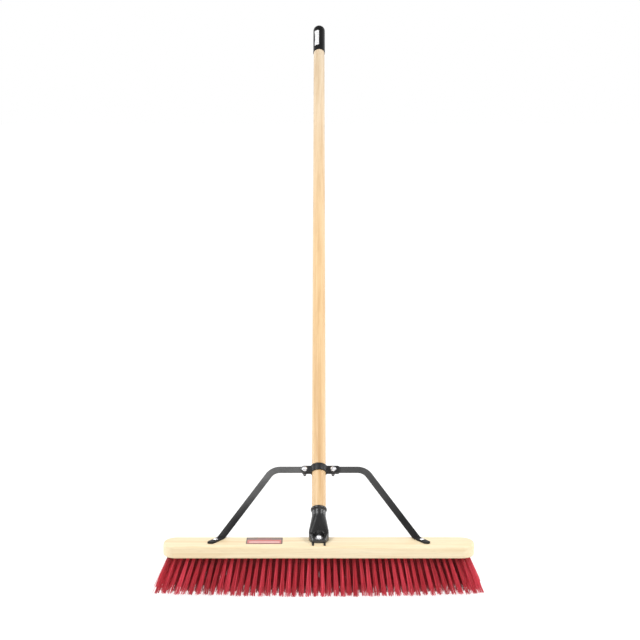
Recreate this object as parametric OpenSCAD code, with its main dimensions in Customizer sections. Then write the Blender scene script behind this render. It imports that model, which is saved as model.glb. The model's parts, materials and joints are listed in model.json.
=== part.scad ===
// Push broom: a wooden block with five staggered rows of bristle tufts, a moulded
// handle bracket, a two-arm flat steel brace clamped round the handle, and a wooden
// handle with an end cap.
// Millimetres. X runs along the block, Y points away from the sweeping edge, Z is up.
// The origin is on the floor below the middle of the block, at the bristle tips.
// "Along the handle" is measured from the point where the handle axis meets the
// block's top face.

/* [Block] */
// Length of the block
block_length = 616; // [612:1:640]
// Depth of the block, front to back
block_depth = 64; // [62:1:70]
// Thickness of the block
block_thickness = 25; // [24:1:30]
// Corner radius of the block in plan
block_corner = 27; // [22:1:29]
// Rounding of the long edges
block_edge = 4; // [2:0.5:5]

/* [Bristles] */
// Free length of the tufts under the block
trim = 76; // [60:1:100]
// Tufts in an outer row
tufts_per_row = 48; // [44:1:48]
// Distance between tufts in a row
tuft_pitch = 12.5; // [12.2:0.1:12.6]
// Distance between rows
row_pitch = 11; // [10.5:0.1:11.5]
// Radius of a tuft hole
tuft_hole_r = 3.4; // [3:0.1:3.5]
// Depth of a tuft hole
tuft_hole_depth = 13; // [11:0.5:13]
// Radius of a tuft at its tip
tuft_tip_r = 5; // [4:0.1:5.2]
// Sideways lean of the end tufts at the tip
end_fan = 27; // [10:1:30]
// Lean of the front and back rows at the tip
row_fan = 14; // [5:1:16]

/* [Handle] */
// Diameter of the wooden handle
handle_d = 28.6; // [28:0.1:29]
// End of the end cap, along the handle
handle_tip = 1547; // [1200:1:1700]
// Lean of the handle from upright, in degrees
lean = 46; // [45:0.5:47]
// Place of the handle axis behind the middle of the block's top
axis_y = 18; // [17:0.5:19]

/* [Brace] */
// Width of the flat bars
bar_w = 14; // [13.5:0.5:16]
// Thickness of the flat bars
bar_t = 3; // [2.5:0.1:3.5]
// Width of the clamp's flanges, along the handle
clamp_w = 15.5; // [14:0.5:17]
// Place of the clamp, along the handle
clamp_s = 159.5; // [150:0.5:170]
// Half distance between the clamp bolts
bolt_x = 29.5; // [28:0.5:30]
// Where the two straight stretches of a bar would meet
corner_x = 95; // [85:1:100]
// Bend radius at that corner, to the middle of the bar
corner_r = 28; // [24:1:32]
// Outward slope of the bar from the handle direction, in degrees
splay = 32.5; // [30:0.5:33]

/* [Hidden] */
$fn = 48;
eps = 1;                       // overrun of a cutting tool past a face
slack = 0.05;                  // gap between pieces that only rest together

block_top = trim + block_thickness;
rows = 5;
tuft_root_gap = 2;             // space above a tuft's root for its staple
staple = [5.6, 0.5, 1.6];

label_t = 0.3;
label_size = [72, 40, label_t];
label_at = [-144, -15];

socket_floor = 23;             // along the handle, where the tenon stops
shoulder = 64;                 // along the handle, where the handle's shoulder rests
collar_top = 68.5;
collar_bottom = 61;
tenon_r = 12;
socket_fit = 0.08;
neck_r = 14.2;
neck_bottom = 50;              // along the handle, where the socket starts to widen
flare_inset = 0.4;             // the widening stays this far inside the foot and the neck
collar_r = 16.6;
foot_front = 6;                // height of the foot at its front edge
foot_back = 15;                // height of the foot beside the socket
dish_r = 11.5;                 // round dish in the foot, for the bracket screw
dish_floor = 6;                // above the block's top face
plate_t = 1.6;
prong_w = 4;
prong_x = 11.5;
prong_front = -27;             // Y of the turned-down tips
prong_bite = 6;
plate_size = [28, 24];
plate_y = -6;                  // Y of the plate's front edge

screw_y = 2;                   // Y of the bracket screw
screw_bite = trim + tuft_hole_depth + 1.5;  // Z of any screw's point in the block
screw_r = 3;
screw_head_r = 6.8;
screw_head_h = 5.5;
washer_r = 7.8;
washer_t = 1.2;
clamp_washer_r = 6;

clamp_t = 2.6;
clamp_r = handle_d / 2 + 0.1;  // running fit round the handle
clamp_gap = bar_t + 0.1;
flange_right = 43.5;
flange_left = 35.5;
bolt_r = 3.1;
bolt_hole_r = 3.4;
bolt_length = 25.4;
bolt_head_r = 5.8;
bolt_head_h = 3.8;
nut_af = 11.1;
nut_t = 5.6;
nut_fit = 0.08;

knuckle_inset = 0.02;          // the rod in the foot bend stays this far inside the faces
tab_length = 40;
tab_screw = 18;                // from the bend to the tab's screw
tab_screw_r = 2.2;
tab_head_r = 4.7;
tab_head_h = 3.1;

cap_r = 15.5;
cap_start = handle_tip - 104;
wood_end = cap_start + 10.5;
cap_label_start = handle_tip - 86;
cap_label_h = 58;
cap_label_turn = 52;           // degrees round the cap, from the front to the left

// Moves from the part's frame to the handle's: Z along the handle, Y to its underside.
module on_handle(s = 0) {
    translate([0, axis_y, block_top]) rotate([-lean, 0, 0]) translate([0, 0, s]) children();
}

module rounded_rect(size, r) {
    square([size[0] - 2 * r, size[1]], center = true);
    square([size[0], size[1] - 2 * r], center = true);
    for (sx = [-1, 1], sy = [-1, 1])
        translate([sx * (size[0] / 2 - r), sy * (size[1] / 2 - r)]) circle(r);
}

// ---- bristles ----------------------------------------------------------------

function row_y(row) = (row - 3) * row_pitch;
function row_count(row) = tufts_per_row - (row + 1) % 2;
function tuft_x(row, i) = (i - (row_count(row) - 1) / 2) * tuft_pitch;
function fan_x(x) = end_fan * x / (tufts_per_row * tuft_pitch / 2);
function fan_y(row) = row_fan * (row - 3) / 2;

// Places children at a tuft's root on the block's underside, its way out along -Z.
module at_tuft(row, i) {
    x = tuft_x(row, i);
    run = norm([fan_x(x), fan_y(row), trim]);
    translate([x, row_y(row), trim])
        rotate([asin(fan_y(row) / run), -atan(fan_x(x) / trim), 0]) children();
}

// One tuft: a straight root in its hole and a cone that widens to the floor.
module tuft(row, i) {
    run = norm([fan_x(tuft_x(row, i)), fan_y(row), trim]);
    cosine = trim / run;
    sine = sqrt(1 - cosine * cosine);
    length = (trim - tuft_tip_r * sine) / cosine;
    at_tuft(row, i) {
        cylinder(h = tuft_hole_depth - tuft_root_gap, r = tuft_hole_r - slack);
        mirror([0, 0, 1]) cylinder(h = length, r1 = tuft_hole_r - slack, r2 = tuft_tip_r);
    }
}

module bristle_row(row) {
    color([0.72, 0.12, 0.18]) for (i = [0:row_count(row) - 1]) tuft(row, i);
}

module tuft_staples() {
    color([0.7, 0.7, 0.68]) for (row = [1:rows], i = [0:row_count(row) - 1]) at_tuft(row, i)
        translate([0, 0, tuft_hole_depth - tuft_root_gap + staple[2] / 2 + slack])
            cube(staple, center = true);
}

// ---- block and label ---------------------------------------------------------

module block() {
    color([0.93, 0.84, 0.66]) difference() {
        intersection() {
            translate([0, 0, trim]) linear_extrude(block_thickness)
                rounded_rect([block_length, block_depth], block_corner);
            translate([0, 0, trim + block_thickness / 2]) rotate([90, 0, 90])
                linear_extrude(block_length + 2 * eps, center = true)
                    rounded_rect([block_depth, block_thickness], block_edge);
        }
        for (row = [1:rows], i = [0:row_count(row) - 1]) at_tuft(row, i)
            translate([0, 0, -2 * eps]) cylinder(h = tuft_hole_depth + 2 * eps, r = tuft_hole_r);
        translate([0, screw_y, screw_bite - slack])
            cylinder(h = block_thickness, r = screw_r + slack);
        for (side = [-1, 1]) at_tab_screw(side) translate([0, 0, screw_bite - slack])
            cylinder(h = block_thickness, r = tab_screw_r + slack);
        for (side = [-1, 1])
            translate([side * prong_x, prong_front + plate_t / 2, block_top - prong_bite / 2])
                cube([prong_w + 2 * slack, plate_t + 2 * slack, prong_bite + 2 * slack],
                     center = true);
    }
}

module label() {
    color([0.85, 0.3, 0.3]) translate([label_at[0], label_at[1], block_top]) cube(label_size);
}

// ---- handle bracket ----------------------------------------------------------

// Foot on the block: low at the front, high beside the socket.
module bracket_foot() {
    hull() translate([0, 0, block_top]) for (side = [-1, 1]) {
        translate([side * 8.5, -3, 0]) cylinder(h = foot_front, r = 8);
        for (y = [8, 24]) translate([side * 14, y, 0]) cylinder(h = foot_back, r = 6);
    }
}

// The socket's lower stretch, which widens into the foot.
module bracket_flare() {
    hull() {
        translate([0, 0, block_top]) for (side = [-1, 1], y = [14, 24])
            translate([side * 14, y, 0])
                cylinder(h = foot_back - flare_inset, r = 6 - flare_inset);
        on_handle(socket_floor - 4)
            cylinder(h = neck_bottom - socket_floor + 4, r = neck_r - flare_inset);
    }
}

module bracket_collar() {
    on_handle() rotate_extrude() polygon([
        [tenon_r, socket_floor], [neck_r, socket_floor], [neck_r, collar_bottom],
        [collar_r - 0.9, collar_bottom + 1.5], [collar_r, collar_bottom + 3],
        [collar_r, collar_top - 1.8], [collar_r - 1, collar_top], [tenon_r, collar_top]]);
}

module handle_bracket() {
    color([0.16, 0.16, 0.16]) difference() {
        union() {
            bracket_foot();
            bracket_flare();
            bracket_collar();
        }
        translate([0, screw_y, block_top + dish_floor]) cylinder(h = 100, r = dish_r);
        on_handle(socket_floor) cylinder(h = 100, r = tenon_r + socket_fit);
        on_handle(shoulder) cylinder(h = 100, r = handle_d / 2 + socket_fit);
        translate([0, screw_y, block_top - eps])
            cylinder(h = dish_floor + 2 * eps, r = screw_r + 0.3);
        translate([-plate_size[0] / 2 - slack, plate_y - slack, block_top - eps])
            cube([plate_size[0] + 2 * slack, plate_size[1] + 2 * slack, plate_t + slack + eps]);
        for (side = [-1, 1])
            translate([side * prong_x - prong_w / 2 - slack, prong_front, block_top - eps])
                cube([prong_w + 2 * slack, plate_size[1], plate_t + slack + eps]);
    }
}

// Flat plate under the foot, with two prongs that run forward and bite into the block.
module prong_plate() {
    color([0.12, 0.12, 0.12]) difference() {
        union() {
            translate([-plate_size[0] / 2, plate_y, block_top])
                cube([plate_size[0], plate_size[1], plate_t]);
            for (side = [-1, 1]) translate([side * prong_x - prong_w / 2, prong_front, 0]) {
                translate([0, 0, block_top])
                    cube([prong_w, plate_y - prong_front + eps, plate_t]);
                translate([0, 0, block_top - prong_bite])
                    cube([prong_w, plate_t, prong_bite + plate_t]);
            }
        }
        translate([0, screw_y, block_top - eps])
            cylinder(h = dish_floor + 2 * eps, r = screw_r + 0.3);
    }
}

module washer(outer, hole, thickness) {
    difference() {
        cylinder(h = thickness, r = outer);
        translate([0, 0, -eps]) cylinder(h = thickness + 2 * eps, r = hole);
    }
}

module bracket_washer() {
    color([0.75, 0.75, 0.78]) translate([0, screw_y, block_top + dish_floor])
        washer(washer_r, screw_r + 0.3, washer_t);
}

// A round-headed screw with its seat at z = 0, its head up and a cross recess.
module pan_screw(head_r, head_h, shank_r, shank_length) {
    sphere_r = (head_r * head_r + head_h * head_h) / (2 * head_h);
    difference() {
        union() {
            intersection() {
                translate([0, 0, head_h - sphere_r]) sphere(sphere_r, $fn = 96);
                cylinder(h = head_h + eps, r = head_r + eps);
            }
            translate([0, 0, -shank_length]) cylinder(h = shank_length + head_h / 2, r = shank_r);
        }
        for (a = [0, 90]) rotate([0, 0, a]) translate([0, 0, head_h])
            cube([head_r, head_r * 0.2, head_h], center = true);
    }
}

module bracket_screw() {
    seat = block_top + dish_floor + washer_t;
    color([0.8, 0.8, 0.82]) translate([0, screw_y, seat])
        pan_screw(screw_head_r, screw_head_h, screw_r, seat - screw_bite);
}

// ---- brace -------------------------------------------------------------------

bend_s = bar_t / 2 / cos(lean);                     // along the handle, at the foot bend
bend_x = corner_x + (clamp_s - bend_s) * tan(splay);
bend_y = axis_y + bend_s * sin(lean);

function arc(centre, r, from, to, steps = 16) = [
    for (i = [0:steps]) let (a = from + (to - from) * i / steps) centre + r * [cos(a), sin(a)]];

edge_x = bar_w / 2 / cos(splay);                    // half the bar's width, cut along X

// Outline of a bar's upper stretch, with X outward and Y along the handle.
module bar_outline() {
    tangent = corner_r * tan((90 - splay) / 2);
    centre = [corner_x - tangent, clamp_s - corner_r];
    polygon(concat(
        arc([bolt_x, clamp_s], bar_w / 2, 90, 270),
        arc(centre, corner_r - bar_w / 2, 90, splay),
        [[bend_x - edge_x, bend_s], [bend_x + edge_x, bend_s]],
        arc(centre, corner_r + bar_w / 2, splay, 90)));
}

// Outline of the foot tab on the block, from its bend to its round tip.
module tab_outline() {
    tip = [bend_x, bend_y] + (tab_length - bar_w / 2) * [sin(splay), -cos(splay)];
    polygon(concat(
        [[bend_x + edge_x, bend_y], [bend_x - edge_x, bend_y]],
        arc(tip, bar_w / 2, 180 + splay, 360 + splay)));
}

module at_tab_screw(side) {
    translate([side * (bend_x + tab_screw * sin(splay)), bend_y - tab_screw * cos(splay), 0])
        children();
}

module brace_arm(side) {
    color([0.2, 0.2, 0.2]) difference() {
        scale([side, 1, 1]) {
            on_handle() rotate([90, 0, 0]) linear_extrude(bar_t, center = true) bar_outline();
            translate([0, 0, block_top]) linear_extrude(bar_t) tab_outline();
            translate([bend_x, bend_y, block_top + bar_t / 2]) rotate([0, 90, 0])
                cylinder(h = 2 * edge_x, r = bar_t / 2 - knuckle_inset, center = true);
        }
        at_bolt(side) translate([0, 0, -bar_t]) cylinder(h = 2 * bar_t, r = bolt_hole_r);
        at_tab_screw(side) translate([0, 0, block_top - eps])
            cylinder(h = 2 * bar_t, r = tab_screw_r + 0.3);
    }
}

module brace_screw(side) {
    color([0.8, 0.8, 0.82]) at_tab_screw(side) translate([0, 0, block_top + bar_t])
        pan_screw(tab_head_r, tab_head_h, tab_screw_r, block_top + bar_t - screw_bite);
}

// Places children on a clamp bolt's axis, with Z to the handle's underside.
module at_bolt(side) {
    on_handle(clamp_s) translate([side * bolt_x, 0, 0]) rotate([-90, 0, 0]) children();
}

// Outline of the clamp's flanges, with X across and Y along the handle.
module flange_outline(left, right) {
    r = 5;
    for (sy = [-1, 1]) {
        translate([right - r, sy * (clamp_w / 2 - r)]) circle(r);
        translate([r - left, sy * (clamp_w / 2 - r)]) circle(r);
    }
    translate([r - left, -clamp_w / 2]) square([left + right - 2 * r, clamp_w]);
    translate([-left, r - clamp_w / 2]) square([left + right, clamp_w - 2 * r]);
}

// One saddle half, with its band on the -Y side of the handle.
module clamp_half(left, right) {
    difference() {
        union() {
            intersection() {
                translate([0, 0, -clamp_w / 2]) cylinder(h = clamp_w, r = clamp_r + clamp_t, $fn = 96);
                translate([-50, -100 - clamp_gap / 2, -50]) cube(100);
            }
            translate([0, -clamp_gap / 2, 0]) rotate([90, 0, 0])
                linear_extrude(clamp_t) flange_outline(left, right);
        }
        translate([0, 0, -50]) cylinder(h = 100, r = clamp_r, $fn = 96);
        for (side = [-1, 1]) translate([side * bolt_x, 0, 0]) rotate([90, 0, 0])
            cylinder(h = 10, r = bolt_hole_r);
    }
}

module clamp_front() {
    color([0.17, 0.17, 0.17]) on_handle(clamp_s) clamp_half(flange_left, flange_right);
}

module clamp_rear() {
    color([0.17, 0.17, 0.17]) on_handle(clamp_s) mirror([0, 1, 0])
        clamp_half(flange_left, flange_right);
}

module clamp_bolt(side) {
    color([0.8, 0.8, 0.82]) at_bolt(side) translate([0, 0, -clamp_gap / 2 - clamp_t])
        mirror([0, 0, 1]) pan_screw(bolt_head_r, bolt_head_h, bolt_r, bolt_length);
}

nut_seat = clamp_gap / 2 + clamp_t + washer_t + slack;

module clamp_washer(side) {
    color([0.75, 0.75, 0.78]) at_bolt(side) translate([0, 0, nut_seat - washer_t - slack / 2])
        washer(clamp_washer_r, bolt_hole_r, washer_t);
}

module clamp_nut(side) {
    corner_radius = nut_af / 2 / cos(30);
    color([0.75, 0.75, 0.78]) at_bolt(side) translate([0, 0, nut_seat]) difference() {
        cylinder(h = nut_t, r = corner_radius, $fn = 6);
        translate([0, 0, -eps]) cylinder(h = nut_t + 2 * eps, r = bolt_r + nut_fit);
    }
}

// ---- handle and cap ----------------------------------------------------------

module handle() {
    color([0.93, 0.8, 0.56]) on_handle() {
        translate([0, 0, socket_floor + slack])
            cylinder(h = shoulder - socket_floor, r = tenon_r, $fn = 96);
        translate([0, 0, shoulder + slack])
            cylinder(h = wood_end - shoulder - slack, r = handle_d / 2, $fn = 96);
    }
}

module end_cap() {
    dome = handle_tip - cap_r;
    color([0.14, 0.14, 0.14]) on_handle() difference() {
        union() {
            translate([0, 0, cap_start]) cylinder(h = dome - cap_start, r = cap_r, $fn = 96);
            translate([0, 0, dome]) sphere(cap_r, $fn = 96);
        }
        translate([0, 0, cap_start - eps])
            cylinder(h = wood_end - cap_start + eps + slack, r = handle_d / 2 + slack, $fn = 96);
    }
}

// Film wrapped round the front left of the cap.
module cap_label() {
    color([0.93, 0.93, 0.93]) on_handle(cap_label_start) difference() {
        intersection() {
            cylinder(h = cap_label_h, r = cap_r + slack + label_t, $fn = 96);
            linear_extrude(cap_label_h) polygon([[0, 0], [0, -2 * cap_r],
                -2 * cap_r * [sin(cap_label_turn), cos(cap_label_turn)]]);
        }
        translate([0, 0, -eps]) cylinder(h = cap_label_h + 2 * eps, r = cap_r + slack, $fn = 96);
    }
}

block();
label();
bristle_row(1);  // bristle_row_1
bristle_row(2);  // bristle_row_2
bristle_row(3);  // bristle_row_3
bristle_row(4);  // bristle_row_4
bristle_row(5);  // bristle_row_5
tuft_staples();
handle_bracket();
prong_plate();
bracket_washer();
bracket_screw();
brace_arm(-1);  // brace_arm_left
brace_arm(1);  // brace_arm_right
brace_screw(-1);  // brace_screw_left
brace_screw(1);  // brace_screw_right
clamp_front();
clamp_rear();
clamp_bolt(-1);  // clamp_bolt_left
clamp_bolt(1);  // clamp_bolt_right
clamp_washer(-1);  // clamp_washer_left
clamp_washer(1);  // clamp_washer_right
clamp_nut(-1);  // clamp_nut_left
clamp_nut(1);  // clamp_nut_right
handle();
end_cap();
cap_label();
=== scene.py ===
"""Push broom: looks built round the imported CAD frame, in metres."""
import json
import math
import random

import bmesh
import bpy
from mathutils import Matrix, Vector


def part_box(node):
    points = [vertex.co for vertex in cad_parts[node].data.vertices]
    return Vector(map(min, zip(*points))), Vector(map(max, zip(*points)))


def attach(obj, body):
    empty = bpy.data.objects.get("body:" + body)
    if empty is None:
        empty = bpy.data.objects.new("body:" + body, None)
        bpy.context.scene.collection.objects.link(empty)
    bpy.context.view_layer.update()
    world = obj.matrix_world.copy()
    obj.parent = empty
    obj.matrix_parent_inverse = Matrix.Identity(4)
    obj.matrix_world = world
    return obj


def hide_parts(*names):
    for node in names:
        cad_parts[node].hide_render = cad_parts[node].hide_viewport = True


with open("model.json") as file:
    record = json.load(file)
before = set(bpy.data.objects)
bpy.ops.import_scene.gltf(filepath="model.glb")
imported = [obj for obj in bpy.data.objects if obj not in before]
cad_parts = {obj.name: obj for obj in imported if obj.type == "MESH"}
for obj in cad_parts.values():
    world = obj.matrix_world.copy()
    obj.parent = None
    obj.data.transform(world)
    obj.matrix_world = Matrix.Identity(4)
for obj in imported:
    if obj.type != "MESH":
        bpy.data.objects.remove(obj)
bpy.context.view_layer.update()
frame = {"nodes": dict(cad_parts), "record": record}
record = frame["record"]
MM = 0.001
X, Y, Z = Vector((1, 0, 0)), Vector((0, 1, 0)), Vector((0, 0, 1))
SEED = 7

# ---- places, from the frame ----------------------------------------------------

block_low, block_high = (Vector(c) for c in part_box("block"))
TOP, UNDERSIDE = block_high.z, block_low.z
mounts = {m["name"]: m for m in record["mounts"]}
AXIS = Vector(mounts["handle_grip"]["axis"]).normalized()
grip = Vector(mounts["handle_grip"]["pos_m"])
BASE = grip - AXIS * ((grip.z - TOP) / AXIS.z)      # the handle axis on the block's top
UNDER = Vector((0, AXIS.z, -AXIS.y))                # to the handle's underside
LEAN = math.atan2(AXIS.y, AXIS.z)


def centre(node):
    """The middle of a CAD node's box."""
    low, high = (Vector(c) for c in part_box(node))
    return (low + high) / 2


def on_handle(x, under, along):
    """A point by its place across, to the underside of and along the handle."""
    return BASE + X * x + UNDER * under + AXIS * along


def along(node):
    """A CAD node's place along the handle, from the block's top."""
    return (centre(node) - BASE).dot(AXIS)


CLAMP_AT = (along("clamp_front") + along("clamp_rear")) / 2
BOLT_X = centre("clamp_bolt_right").x
HANDLE_R = (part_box("handle")[1][0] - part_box("handle")[0][0]) / 2
CAP_R = (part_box("end_cap")[1][0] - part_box("end_cap")[0][0]) / 2
DOME_AT = (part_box("end_cap")[1][2] - CAP_R - TOP) / AXIS.z

# Sizes that the CAD source gives, kept here under the same names.
BAR_W, BAR_T = 14 * MM, 3 * MM
CORNER_X, CORNER_R, SPLAY = 95 * MM, 28 * MM, math.radians(32.5)
TAB_LENGTH, FOLD_R = 40 * MM, 10 * MM
CLAMP_W, CLAMP_T, CLAMP_GAP = 15.5 * MM, 2.6 * MM, 3.1 * MM
FLANGE_RIGHT, FLANGE_LEFT = 43.5 * MM, 35.5 * MM
SHOULDER_AT, SOCKET_FLOOR, NECK_BOTTOM = 64 * MM, 23 * MM, 50 * MM
TENON_R, NECK_R = 12 * MM, 14.2 * MM
FOOT_FRONT, FOOT_BACK, DISH_FLOOR, DISH_R = 6 * MM, 15 * MM, 6 * MM, 11.5 * MM
CAP_LENGTH, WOOD_IN_CAP = 104 * MM, 10.5 * MM
CAP_LABEL_AT, CAP_LABEL_H, CAP_LABEL_TURN = 18 * MM, 58 * MM, math.radians(52)
BOLT_R, BOLT_LENGTH, THREAD_PITCH = 3.1 * MM, 25.4 * MM, 1.27 * MM
NUT_AF, NUT_T = 11.1 * MM, 5.6 * MM

CAP_START = DOME_AT + CAP_R - CAP_LENGTH     # the cap's open end, along the handle
PIN_R = 0.1 * MM                             # how near its axis a turned profile starts and ends
ROUND_END = [math.radians(a) for a in (8, 20, 35, 52, 70, 90)]     # stations round a bar's end


# ---- mesh helpers --------------------------------------------------------------

def new_object(name, verts, faces, smooth=True):
    """Mesh object with its faces turned outward."""
    mesh = bpy.data.meshes.new(name)
    mesh.from_pydata([tuple(v) for v in verts], [], faces)
    mesh.validate()
    bm = bmesh.new()
    bm.from_mesh(mesh)
    bmesh.ops.recalc_face_normals(bm, faces=bm.faces)
    bm.to_mesh(mesh)
    bm.free()
    mesh.shade_smooth() if smooth else mesh.shade_flat()
    obj = bpy.data.objects.new(name, mesh)
    bpy.context.collection.objects.link(obj)
    return obj


def settle(obj):
    """Turns an object's modifiers into its mesh."""
    graph = bpy.context.evaluated_depsgraph_get()
    mesh = bpy.data.meshes.new_from_object(obj.evaluated_get(graph))
    obj.modifiers.clear()
    obj.data = mesh
    return obj


def combine(obj, others, operation):
    """Boolean with each of the others, which are used up."""
    for other in others:
        step = obj.modifiers.new("combine", "BOOLEAN")
        step.operation = operation
        step.solver = "EXACT"
        step.object = other
        settle(obj)
        bpy.data.objects.remove(other)
    return obj


def bevel(obj, width):
    """Rounds an object's sharp edges."""
    step = obj.modifiers.new("bevel", "BEVEL")
    step.width = width
    step.segments = 2
    step.limit_method = "ANGLE"
    step.angle_limit = math.radians(30)
    return obj


def smooth_by_angle(obj, angle):
    """Shades an object smooth, apart from edges sharper than the angle in degrees."""
    obj.data.shade_smooth()
    obj.data.set_sharp_from_angle(angle=math.radians(angle))
    return obj


def tube_faces(rings, sides, closed_ends=True):
    """Faces of a stack of rings with the same number of points."""
    faces = []
    for i in range(rings - 1):
        for j in range(sides):
            k = (j + 1) % sides
            faces.append((i * sides + j, i * sides + k, (i + 1) * sides + k, (i + 1) * sides + j))
    if closed_ends:
        faces.append(tuple(range(sides - 1, -1, -1)))
        faces.append(tuple((rings - 1) * sides + j for j in range(sides)))
    return faces


def lathe(name, profile, origin, axis, sides=64, ripple=None):
    """Closed solid turned from (radius, height) points. ripple(r, z, angle) may move a radius."""
    across = axis.cross(X if abs(axis.x) < 0.5 else Y).normalized()
    other = axis.cross(across)
    verts = []
    for r, z in profile:
        for j in range(sides):
            a = 2 * math.pi * j / sides
            rr = ripple(r, z, a) if ripple else r
            verts.append(origin + axis * z + (across * math.cos(a) + other * math.sin(a)) * rr)
    return new_object(name, verts, tube_faces(len(profile), sides))


def arc(r, from_deg, to_deg, steps, centre_at=(0, 0)):
    """Points along an arc, from one angle to another."""
    out = []
    for i in range(steps + 1):
        a = math.radians(from_deg + (to_deg - from_deg) * i / steps)
        out.append((centre_at[0] + r * math.cos(a), centre_at[1] + r * math.sin(a)))
    return out


def rounded_outline(half_x, half_y, r, steps):
    """Points round a rectangle with round corners, about the origin."""
    out = []
    for cx, cy, start in ((1, 1, 0), (-1, 1, 90), (-1, -1, 180), (1, -1, 270)):
        out += arc(r, start, start + 90, steps, (cx * (half_x - r), cy * (half_y - r)))
    return out


def strip(name, stations, thickness, edge):
    """Flat bar swept through stations of (middle, half-width vector, face normal).

    Its four edges are rounded to the radius given as edge.
    """
    corner = arc(edge, 0, 90, 3)
    verts = []
    for middle, half, normal in stations:
        half_w = max(half.length, edge * 1.05)
        side, up = half.normalized(), normal.normalized()
        for sx, sy, points in ((1, 1, corner), (-1, 1, corner[::-1]),
                               (-1, -1, corner), (1, -1, corner[::-1])):
            for px, py in points:
                verts.append(middle + side * sx * (half_w - edge + px)
                             + up * sy * (thickness / 2 - edge + py))
    return new_object(name, verts, tube_faces(len(stations), len(verts) // len(stations)))


# ---- material helpers ----------------------------------------------------------

class Nodes:
    """A small wrapper that adds nodes and links to one material."""

    def __init__(self, name):
        self.material = bpy.data.materials.new(name)
        self.material.use_nodes = True
        self.tree = self.material.node_tree
        self.shader = self.tree.nodes["Principled BSDF"]

    def add(self, kind, values=None, **settings):
        node = self.tree.nodes.new(kind)
        for key, value in settings.items():
            setattr(node, key, value)
        for key, value in (values or {}).items():
            node.inputs[key].default_value = value
        return node

    def link(self, a, b):
        self.tree.links.new(a, b)

    def axis(self, name):
        """The X, Y or Z coordinate in metres."""
        place = self.add("ShaderNodeTexCoord")
        split = self.add("ShaderNodeSeparateXYZ")
        self.link(place.outputs["Object"], split.inputs["Vector"])
        return split.outputs[name]

    def coords(self, scale, rotation=(0, 0, 0)):
        """Coordinates turned and then scaled, for a texture."""
        place = self.add("ShaderNodeTexCoord")
        mapping = self.add("ShaderNodeMapping", {"Scale": scale})
        turn = self.add("ShaderNodeMapping", {"Rotation": rotation})
        self.link(place.outputs["Object"], turn.inputs["Vector"])
        self.link(turn.outputs["Vector"], mapping.inputs["Vector"])
        return mapping.outputs["Vector"]

    def product(self, a, b):
        node = self.add("ShaderNodeMath", operation="MULTIPLY")
        self.link(a, node.inputs[0])
        self.link(b, node.inputs[1])
        return node.outputs["Value"]

    def noise(self, vector, scale, detail=4, roughness=0.55, distortion=0.0):
        node = self.add("ShaderNodeTexNoise", {"Scale": scale, "Detail": detail,
                                               "Roughness": roughness,
                                               "Distortion": distortion})
        self.link(vector, node.inputs["Vector"])
        return node.outputs["Fac"]

    def ramp(self, value, stops):
        """Colour by value, from (value, colour) stops."""
        node = self.add("ShaderNodeValToRGB")
        elements = node.color_ramp.elements
        while len(elements) < len(stops):
            elements.new(0.5)
        for element, (place, colour) in zip(elements, stops):
            element.position = place
            element.color = (*colour, 1)
        self.link(value, node.inputs["Fac"])
        return node.outputs["Color"]

    def mix(self, factor, a, b, blend="MIX"):
        node = self.add("ShaderNodeMix", data_type="RGBA", blend_type=blend)
        for socket, value in ((node.inputs["Factor"], factor), (node.inputs["A"], a),
                              (node.inputs["B"], b)):
            if isinstance(value, bpy.types.NodeSocket):
                self.link(value, socket)
            elif socket.type == "RGBA":
                socket.default_value = (*value, 1)
            else:
                socket.default_value = value
        return node.outputs["Result"]

    def range(self, value, low, high, to_low=0.0, to_high=1.0):
        """Maps low..high to to_low..to_high, and holds it there outside."""
        node = self.add("ShaderNodeMapRange", {"From Min": low, "From Max": high,
                                               "To Min": to_low, "To Max": to_high})
        self.link(value, node.inputs["Value"])
        return node.outputs["Result"]

    def bump(self, height, strength, distance):
        node = self.add("ShaderNodeBump", {"Strength": strength, "Distance": distance})
        self.link(height, node.inputs["Height"])
        self.link(node.outputs["Normal"], self.shader.inputs["Normal"])

    def set(self, **values):
        for key, value in values.items():
            socket = self.shader.inputs[key.replace("_", " ")]
            socket.default_value = value


def dress(obj, body, slot, material, *replaced):
    """Gives a new piece its body and material and hides the CAD nodes it stands for. The record slot is
    not used.
    """
    obj.data.materials.clear()
    obj.data.materials.append(material)
    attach(obj, body)
    if replaced:
        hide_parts(*replaced)
    return obj


def redress(node, material):
    """Gives a CAD node, which stays in the picture, its material."""
    obj = frame["nodes"][node]
    for s in obj.material_slots:
        s.material = material
    return obj


# ---- materials -----------------------------------------------------------------

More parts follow.
